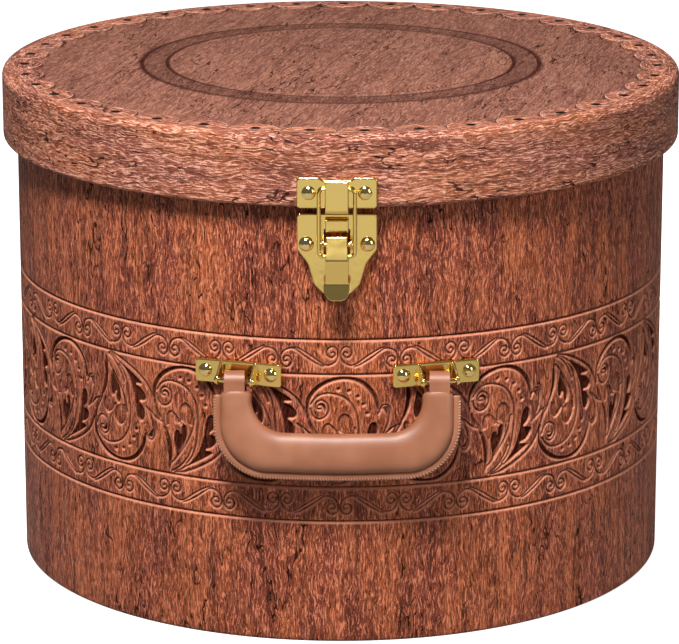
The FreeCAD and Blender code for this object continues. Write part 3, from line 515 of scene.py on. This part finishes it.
def smooth_leather(name, tone, pale):
    """Fine-grained leather with slow changes between two tones."""
    s = Shader(name)
    place = s.place()
    cloud = s.noise(place, 0.05, 2)
    grain = s.noise(place, 1.6, 3, 0.6)
    s.put(s.bsdf.inputs["Base Color"], s.mix(s.band(cloud, 0.35, 0.7), tone, pale))
    s.put(s.bsdf.inputs["Roughness"], s.math("MULTIPLY_ADD", grain, 0.15, 0.36))
    s.put(s.bsdf.inputs["Normal"], s.bump(grain, 0.12 * MM, 0.6))
    return s.material


def gold(name, tone, rough=0.16, round_mm=0.35):
    """Polished plate with soft edges painted a paler gold as a highlight, and slightly wavy faces."""
    s = Shader(name)
    wave = s.noise(s.place(), 0.16, 1)
    smooth_normal, edge = s.soft_edges(round_mm)
    # Painted highlight: a paler gold near the edges.
    s.put(s.bsdf.inputs["Base Color"], s.mix(s.math("MULTIPLY", edge, 0.5), tone, (1.0, 0.86, 0.55)))
    s.put(s.bsdf.inputs["Metallic"], 1.0)
    s.put(s.bsdf.inputs["Roughness"], rough)
    s.put(s.bsdf.inputs["Normal"], s.bump(wave, 0.10 * MM, 0.6, smooth_normal))
    return s.material


def cloth(name, tone, pale):
    """Short-napped lining cloth."""
    s = Shader(name)
    place = s.place()
    fuzz = s.noise(place, 0.9, 4, 0.7)
    nap = s.noise(place, 0.10, 2)
    both = s.math("ADD", s.math("MULTIPLY", fuzz, 0.5), s.math("MULTIPLY", nap, 0.5))
    s.put(s.bsdf.inputs["Base Color"], s.mix(s.band(both, 0.35, 0.65), tone, pale))
    s.put(s.bsdf.inputs["Roughness"], 0.95)
    s.put(s.bsdf.inputs["Sheen Weight"], 0.4)
    s.put(s.bsdf.inputs["Normal"], s.bump(fuzz, 0.3 * MM, 0.5))
    return s.material


def plain(name, tone, rough=0.8):
    s = Shader(name)
    s.put(s.bsdf.inputs["Base Color"], (*tone, 1))
    s.put(s.bsdf.inputs["Roughness"], rough)
    return s.material


WALL_TONES = ((0.060, 0.009, 0.003), (0.27, 0.049, 0.023), (0.45, 0.105, 0.032), (0.80, 0.27, 0.14))
RIM_TONES = ((0.08, 0.014, 0.006), (0.36, 0.100, 0.058), (0.49, 0.145, 0.060), (0.90, 0.46, 0.33))
TOP_TONES = ((0.11, 0.031, 0.018), (0.22, 0.076, 0.048), (0.27, 0.100, 0.060), (0.39, 0.18, 0.12))
WALL_LEATHER = wood_leather("wall leather", "up", WALL_TONES, sunk=True)
RIM_LEATHER = wood_leather("rim leather", "round", RIM_TONES, (1.3, 0.17), 0.90, 0.42, pale_edges_and_hole_shade=True)
TOP_LEATHER = wood_leather("lid leather", 77.0, TOP_TONES, (1.1, 0.11), 0.9, 0.24, sunk=True)
HANDLE_LEATHER = smooth_leather("handle leather", (0.27, 0.096, 0.045), (0.33, 0.128, 0.066))
THREAD = plain("seam thread", (0.50, 0.27, 0.17), 0.7)
GOLD = gold("gold plate", (0.93, 0.66, 0.20), 0.14, 0.8)
BRIGHT_GOLD = gold("gold rivets", (0.97, 0.74, 0.30), 0.08, 0.3)
LINING = cloth("lining", (0.10, 0.045, 0.028), (0.17, 0.080, 0.050))
BOARD = plain("board", (0.25, 0.17, 0.11), 0.9)
CORE = plain("core", (0.02, 0.02, 0.02), 0.5)


# ---- the wall's leather, with its embossed bands ----------------------------------------------------
WALL_R = 191.7
LINES = (177.0, 157.0, 91.5, 71.5)      # heights of the four ruled lines
LEAF_PITCH = 2 * math.pi * WALL_R / 13
SCROLL_PITCH = 2 * math.pi * WALL_R / 18
LEAF_START, SCROLL_START = -14.0, 1.3   # mm round the wall from the front
WALL_PRESSED = 1.05                     # how deep the wall's pattern is, as a multiple of its field's depth


def press(marks, values, where=slice(None)):
    """Keeps, place by place, the greater of what is there and what is pressed in."""
    for old, new in zip(marks, values):
        old[where] = np.maximum(old[where], new)


def wall_relief(arc_mm, z):
    """Depth, darkness and pale lips of the pressed pattern on a grid of places on the wall; the lips are
    partly edge wear and partly painted highlight.
    """
    marks = [np.zeros(arc_mm.shape) for _ in range(3)]
    leaf, scroll = leaf_field(), scroll_field(SCROLL_PITCH)
    band = (z > LINES[2]) & (z < LINES[1])
    rise = z[band] - LINES[2]
    for shift, v in ((0.0, LEAF_HIGH - rise), (LEAF_PITCH / 2, rise)):
        u = (arc_mm[band] - LEAF_START - shift + 6) % LEAF_PITCH - 6
        press(marks, leaf.read(u, v), band)
    borders = ((LINES[0], LINES[1], SCROLL_START - SCROLL_PITCH / 2), (LINES[2], LINES[3], SCROLL_START))
    for top, low, start in borders:
        band = (z > low) & (z < top)
        u = (arc_mm[band] - start) % SCROLL_PITCH
        press(marks, scroll.read(u, z[band] - (top + low) / 2), band)
    for line in LINES:
        d = np.abs(z - line)
        # Painted highlight: a pale line just below each ruled line, where the groove's lower bank faces up to
        # the light.
        lit = np.exp(-(((z - line + 1.2) / 0.6) ** 2))
        press(marks, (0.9 * smooth(1 - d / 1.3), smooth(1.3 - d / 0.9), lit))
    return marks


def make_wall():
    z0, z1 = (corner[2] for corner in box_mm("wall_cover"))
    pitch = 0.42 if FINE else 0.9
    columns = int(2 * math.pi * WALL_R / pitch)
    fold, inner, under, turned_in = 2.4, WALL_R - 5.9, WALL_R - 18.0, 20
    low, high = LINES[3] - 2, LINES[0] + 2
    profile = [(under, z0 + 1.0), (under, z0), (WALL_R - 8, z0)]
    profile += arc((WALL_R - fold, z0 + fold), fold, -90, 0, 7)
    profile += [(WALL_R, z) for z in np.linspace(6, low - 1, 9)]
    profile += [(WALL_R, z) for z in np.arange(low, high, pitch)]
    profile += [(WALL_R, z) for z in np.linspace(high + 1, z1 - 6, 12)]
    profile += arc((WALL_R - fold, z1 - fold), fold, 0, 90, 7)
    profile += arc((inner + fold, z1 - fold), fold, 90, 180, 7)
    profile += [(inner, z1 - turned_in), (inner + 1.1, z1 - turned_in)]
    r, z = np.array(profile).T
    angle = np.arange(columns) * 2 * math.pi / columns
    angle = np.where(angle > math.pi, angle - 2 * math.pi, angle)
    arcs, heights = np.meshgrid(angle * WALL_R, z)
    pressed = np.flatnonzero((r > WALL_R - 0.01) & (z > low) & (z < high))
    inside = np.isin(np.arange(len(z)), pressed)[:, None]
    depth, dark, wear_and_highlight = (np.where(inside, values, 0) for values in wall_relief(arcs, heights))
    # Painted highlight: the pale lips are kept faint and made paler on the banks that face up and to the
    # left, towards the key light.
    up, across = np.gradient(depth[pressed], pitch)
    wear_and_highlight[pressed] = np.clip(0.35 * wear_and_highlight[pressed] + 0.9 * up - 0.4 * across, 0, 1)
    radius = r[:, None] - WALL_PRESSED * depth
    points = np.stack([radius * np.sin(angle), -radius * np.cos(angle), heights], -1).reshape(-1, 3) * MM
    faces = grid_faces(len(profile), columns)
    obj = mesh_object("wall_cover_embossed", points, faces, {"dark": dark, "wear_and_highlight": wear_and_highlight})
    paint(obj, WALL_LEATHER, "case")
    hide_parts("wall_cover")


# ---- the lid's top, with its ring of ornament -------------------------------------------------------
DOME_R, DOME_RISE = 170.0, 2.6
RING_LOW, RING_HIGH, RING_LEAVES = 104.0, 116.0, 34
RING_MIDDLE, RING_WIDE = (RING_LOW + RING_HIGH) / 2, RING_HIGH - RING_LOW
DASH_R, DASHES = 93.5, 180
LID_PRESSED = 0.5       # how deep the lid's pattern is, as a multiple of its marks' depth


def petal_shadow(turn, r):
    """Darkness on the lid's top along the petals' edges and under their holes."""
    sector = 2 * math.pi / PETALS
    beside = (turn % sector - sector / 2) * PETAL_CUSP_R
    half_wide = sector * PETAL_CUSP_R / 2
    deep_in = PETAL_CUSP_R - PETAL_TIP_R
    arc_r = (half_wide**2 + deep_in**2) / (2 * deep_in)
    clear = np.hypot(beside, r - (PETAL_TIP_R + arc_r)) - arc_r
    clear = np.where(r > PETAL_CUSP_R, 0, clear)
    edge = 0.95 * smooth(1 - clear / 2.2) * (r > PETAL_TIP_R - 3)
    return np.maximum(edge, smooth(3.4 - np.hypot(beside, r - PETAL_HOLE_AT)))


def lid_relief(turn, r):
    """Depth and darkness of the lid's ring of leaves between two lines, its dashes and the petals' shadow."""
    marks = [np.zeros(r.shape) for _ in range(2)]
    leaf = leaf_field(0.3)
    period = 2 * math.pi * RING_MIDDLE / RING_LEAVES
    rise = (r - RING_LOW) * LEAF_HIGH / RING_WIDE
    for shift, v in ((0.0, LEAF_HIGH - rise), (period / 2, rise)):
        u = ((turn * RING_MIDDLE + shift + 1) % period - 1) * LEAF_PITCH / period
        press(marks, leaf.read(u, v))
    for line, width in ((RING_HIGH + 1.4, 1.1), (RING_LOW - 1.4, 1.0)):
        d = np.abs(r - line)
        press(marks, (0.9 * smooth(1 - d / width), smooth(1.9 - d / width)))
    step = (turn / (2 * math.pi) * DASHES + (r - DASH_R) * 0.12) % 1 - 0.5
    dash = smooth(1.5 - np.abs(step) / 0.22) * smooth(1.4 - np.abs(r - DASH_R) / 1.5)
    press(marks, (0.9 * dash, dash))
    ground = 0.60 * smooth(3.0 - 5 * np.abs(r - RING_MIDDLE) / RING_WIDE)
    press(marks[1:], [np.maximum(ground, petal_shadow(turn, r))])
    return marks


def make_lid_top():
    (_, _, z0), (x1, _, z1) = box_mm("lid_top_cover")
    edge = x1 - 0.1
    ball = (DOME_R**2 + DOME_RISE**2) / (2 * DOME_RISE)
    pitch = 0.3 if FINE else 0.9
    rows = np.concatenate([np.linspace(1, 88, 16), np.arange(90, 119, pitch), np.linspace(121, DOME_R, 14),
                           np.arange(DOME_R + 1, edge, 2 * pitch), [edge]])
    columns = int(2 * math.pi * RING_MIDDLE / pitch)
    angle = np.arange(columns) * 2 * math.pi / columns
    turn, r = np.meshgrid(angle, rows)
    depth, dark = lid_relief(turn, r)
    # Painted highlight: pale on the banks of the pressed marks that face the front, towards the key light and
    # the camera.
    outwards, round_way = np.gradient(depth, rows, axis=0), np.gradient(depth, axis=1) / (r * angle[1])
    towards_back = np.sin(turn) * round_way - np.cos(turn) * outwards
    wear_and_highlight = np.clip(-0.10 * towards_back, 0, 0.5)
    dome = z1 - ball + np.sqrt(ball**2 - np.minimum(r, DOME_R) ** 2)
    z = np.where(r < DOME_R, dome, z1 - DOME_RISE) - LID_PRESSED * depth
    points = np.stack([r * np.sin(turn), -r * np.cos(turn), z], -1).reshape(-1, 3)
    skirt = np.stack([edge * np.sin(angle), -edge * np.cos(angle), np.full(columns, z0)], -1)
    points = np.vstack([points, skirt, [[0, 0, z1], [0, 0, z0]]]) * MM
    unmarked = np.zeros(columns + 2)
    marks = {"dark": np.append(dark, unmarked), "wear_and_highlight": np.append(wear_and_highlight, unmarked)}
    obj = mesh_object("lid_top_embossed", points, closed_faces(len(rows) + 1, columns, flip=True), marks)
    paint(obj, TOP_LEATHER, "lid")
    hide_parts("lid_top_cover")


# ---- the handle's padded grip -----------------------------------------------------------------------
PIVOT = Vector(JOINTS["handle_hinge"]["pos_m"])
HANDLE_TILT = math.radians(16.0)
TOP, INNER_X, OUTER_X, INNER_BOTTOM, OUTER_BOTTOM = -5.6, 47.2, 64.6, -28.2, -49.6
GRIP_HALF_THICK, GRIP_CROWN = 6.4, 3.2
SHOULDER = np.array([0.34, 0.10, 0.0])      # how much of its width and thickness an arm's end loses
FOLD = [(0, 1.5), (3.6, 1.5), (4.6, 1.1), (5.0, 0.2), (5.0, -0.6), (4.6, -1.5), (3.6, -1.9), (0, -1.9)]
STITCH_PITCH, THREAD_R = 1.55, 0.40


def hung(points):
    """From the handle's own plane (x, y towards the wall, z up from the pins) to where it hangs."""
    p = np.asarray(points, float)
    c, s = math.cos(HANDLE_TILT), math.sin(HANDLE_TILT)
    y, z = p[..., 1] * c + p[..., 2] * s, p[..., 2] * c - p[..., 1] * s
    return np.stack([p[..., 0] * MM + PIVOT.x, y * MM + PIVOT.y, z * MM + PIVOT.z], -1)


def boundary(x_side, corner_r, bottom, sag, steps, top):
    """Half of the grip's edge, from the top of the right arm to the middle of the bottom."""
    centre = (x_side - corner_r, bottom + corner_r)
    arm = [(x_side, z) for z in np.linspace(top, centre[1], steps, endpoint=False)]
    turn = [(centre[0] + corner_r * math.cos(a), centre[1] - corner_r * math.sin(a))
            for a in np.linspace(0, math.pi / 2, 2 * steps, endpoint=False)]
    base = [(x, bottom) for x in np.linspace(centre[0], 0, 2 * steps)]
    half = np.array(arm + turn + base)
    half[:, 1] -= sag * smooth(1 - np.abs(half[:, 0]) / x_side)
    return half


def whole(half):
    """The right half of an edge and its mirror image, as one run."""
    return np.vstack([half, half[-2::-1] * [-1, 1]])


def closed_tube(name, rings, flip=False):
    """A stack of rings in the handle's own plane, closed at both ends and moved to where the handle hangs."""
    rings = np.array(rings)
    ends = [rings[0].mean(0), rings[-1].mean(0)]
    points = hung(np.vstack([rings.reshape(-1, 3), ends]))
    return mesh_object(name, points, closed_faces(*rings.shape[:2], flip=flip))


def rounded_end(ring):
    """Rings that carry an arm's end up into soft shoulders."""
    heart = ring.mean(0)
    rings = []
    for a in np.linspace(0, math.pi / 2, 8)[1:]:
        narrowed = 1 - SHOULDER * (1 - math.cos(a))
        rings.append(heart + (ring - heart) * narrowed + [0, 0, GRIP_CROWN * math.sin(a)])
    return rings


def make_grip():
    inner = whole(boundary(INNER_X, 18.0, INNER_BOTTOM, 0.9, 14, TOP - GRIP_CROWN))
    outer = whole(boundary(OUTER_X, 26.0, OUTER_BOTTOM, 1.6, 14, TOP - GRIP_CROWN))
    around = np.linspace(0, 2 * math.pi, 48, endpoint=False)
    squareness = 2 / 2.7
    side = np.sign(np.cos(around)) * np.abs(np.cos(around)) ** squareness
    front = np.sign(np.sin(around)) * np.abs(np.sin(around)) ** squareness
    rings = [np.stack([m[0] + side * h[0], -front * GRIP_HALF_THICK, m[1] + side * h[1]], -1)
             for m, h in zip((inner + outer) / 2, (outer - inner) / 2)]
    obj = closed_tube("handle_grip", rounded_end(rings[0])[::-1] + rings + rounded_end(rings[-1]))
    paint(obj, HANDLE_LEATHER, "handle")
    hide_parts("handle_cover")


def make_seam():
    """The grip's sewn edge: a folded strip along its outer side, whipped with thread."""
    run = whole(boundary(OUTER_X - 1.2, 25.0, OUTER_BOTTOM + 1.2, 1.6, 16, TOP - 2.0))
    way = np.gradient(run, axis=0)
    way /= np.linalg.norm(way, axis=1)[:, None]
    out = np.stack([-way[:, 1], way[:, 0]], -1)
    rings = [[(x + ox * w, -t, z + oz * w) for w, t in FOLD] for (x, z), (ox, oz) in zip(run, out)]
    paint(closed_tube("handle_seam_fold", rings, flip=True), HANDLE_LEATHER, "handle")
    make_thread(run, out)


def make_thread(run, out):
    """Slanting stitches that wrap over the fold's outer edge."""
    lengths = np.concatenate([[0], np.cumsum(np.linalg.norm(np.diff(run, axis=0), axis=1))])
    spots = np.arange(3, lengths[-1] - 3, STITCH_PITCH)
    x, z, out_x, out_z = (np.interp(spots, lengths, values) for values in (*run.T, *out.T))
    around = np.linspace(0, 2 * math.pi, 8, endpoint=False)
    ts = np.linspace(-1, 1, 9)
    bend = ts * 1.15
    along, outward, front = ts * 0.75, 3.1 + 1.75 * np.cos(bend), 1.75 * np.sin(bend) - 0.05
    radius = THREAD_R * np.sqrt(np.clip(1 - ts**6, 0.05, 1))
    vertices, faces = [], []
    for px, pz, nx, nz in zip(x, z, out_x, out_z):
        path = np.stack([px + nx * outward + nz * along, -front, pz + nz * outward - nx * along], -1)
        direction = np.gradient(path, axis=0)
        direction /= np.linalg.norm(direction, axis=1)[:, None]
        side = np.cross(direction, [0.0, 1.0, 0.0])
        side /= np.linalg.norm(side, axis=1)[:, None]
        other = np.cross(direction, side)
        faces.append(grid_faces(len(ts), len(around)) + len(vertices))
        for centre, a, b, r in zip(path, side, other, radius):
            vertices.extend(centre + r * (np.cos(around)[:, None] * a + np.sin(around)[:, None] * b))
    obj = mesh_object("handle_seam_thread", hung(np.array(vertices)), np.vstack(faces))
    paint(obj, THREAD, "handle")


make_wall()
make_lid_top()
make_grip()
make_seam()

# ---- finishes of the pieces that keep their CAD shape -----------------------------------------------
FINISH = {"wall_leather": WALL_LEATHER, "lid_leather": TOP_LEATHER, "rim_leather": RIM_LEATHER,
          "handle_leather": HANDLE_LEATHER, "board": BOARD, "lining": LINING, "pad": LINING, "core": CORE,
          "latch_gold": GOLD, "hinge_gold": GOLD, "rivet_gold": BRIGHT_GOLD}
for part in frame["record"]["subparts"]:
    node = frame["nodes"][part["node"]]
    for slot in node.material_slots:
        slot.material = FINISH[part["material_slot"]]

# ---- floor, light and camera ------------------------------------------------------------------------
def white_floor():
    """A pale floor that looks white to the camera but throws little light back up."""
    s = Shader("floor")
    seen = s.tree.nodes.new("ShaderNodeLightPath").outputs["Is Camera Ray"]
    s.put(s.bsdf.inputs["Base Color"], s.mix(seen, (0.30, 0.29, 0.28), (0.92, 0.92, 0.92)))
    s.put(s.bsdf.inputs["Roughness"], 0.9)
    s.put(s.bsdf.inputs["Specular IOR Level"], 0.0)
    s.put(s.bsdf.inputs["Emission Color"], (1, 1, 1, 1))
    s.put(s.bsdf.inputs["Emission Strength"], s.math("MULTIPLY", seen, 0.9))
    return s.material


bpy.ops.mesh.primitive_plane_add(size=24, location=(0, 6.0, 0))
floor = bpy.context.object
floor.name = "floor"
floor.data.materials.append(white_floor())

scene = bpy.context.scene
scene.view_settings.view_transform = "Standard"
world = bpy.data.worlds.new("studio")
scene.world = world
world.use_nodes = True
world.node_tree.nodes["Background"].inputs["Color"].default_value = (1, 1, 1, 1)
world.node_tree.nodes["Background"].inputs["Strength"].default_value = 0.12


def softbox(name, place, target, size, power):
    """A rectangular area light; metres and watts."""
    data = bpy.data.lights.new(name, "AREA")
    data.shape = "RECTANGLE"
    data.size, data.size_y = size
    data.energy = power
    lamp = bpy.data.objects.new(name, data)
    scene.collection.objects.link(lamp)
    lamp.location = place
    lamp.rotation_euler = (Vector(target) - Vector(place)).to_track_quat("-Z", "Y").to_euler()


softbox("key", (-0.2, -0.85, 1.38), (0, 0, 0.22), (0.38, 0.34), 37)
softbox("top", (0.2, 0.6, 2.0), (0, 0, 0.3), (1.4, 1.0), 6)
softbox("side", (1.8, -1.5, 0.9), (0, 0, 0.15), (0.5, 1.2), 11)


def glow_card(name, corners, strength):
    """A lit card that shows only in reflections, most of all in polished metal."""
    card = mesh_object(name, corners, [[0, 1, 2, 3]], flat=True)
    s = Shader(name)
    s.put(s.bsdf.inputs["Base Color"], (0, 0, 0, 1))
    s.put(s.bsdf.inputs["Emission Color"], (1, 1, 1, 1))
    s.put(s.bsdf.inputs["Emission Strength"], strength)
    card.data.materials.append(s.material)
    card.visible_camera = card.visible_diffuse = card.visible_shadow = False


glow_card("low_card", [(-0.7, -1.9, 0.01), (0.5, -1.9, 0.01), (0.5, -0.95, 0.01), (-0.7, -0.95, 0.01)], 0.7)

CAMERA_TURN, CAMERA_PITCH = math.radians(0.6), 0.2682      # radians
CAMERA_BACK, CAMERA_HIGH = 2.235, 0.749
camera_data = bpy.data.cameras.new("camera")
camera = bpy.data.objects.new("camera", camera_data)
scene.collection.objects.link(camera)
camera.location = (CAMERA_BACK * math.sin(CAMERA_TURN), -CAMERA_BACK * math.cos(CAMERA_TURN), CAMERA_HIGH)
camera.rotation_euler = (math.pi / 2 - CAMERA_PITCH, 0, CAMERA_TURN)
camera_data.sensor_fit = "HORIZONTAL"
camera_data.sensor_width = 36.0
camera_data.lens = 203.7
camera_data.shift_x = -0.0018
camera_data.clip_end = 50
scene.camera = camera
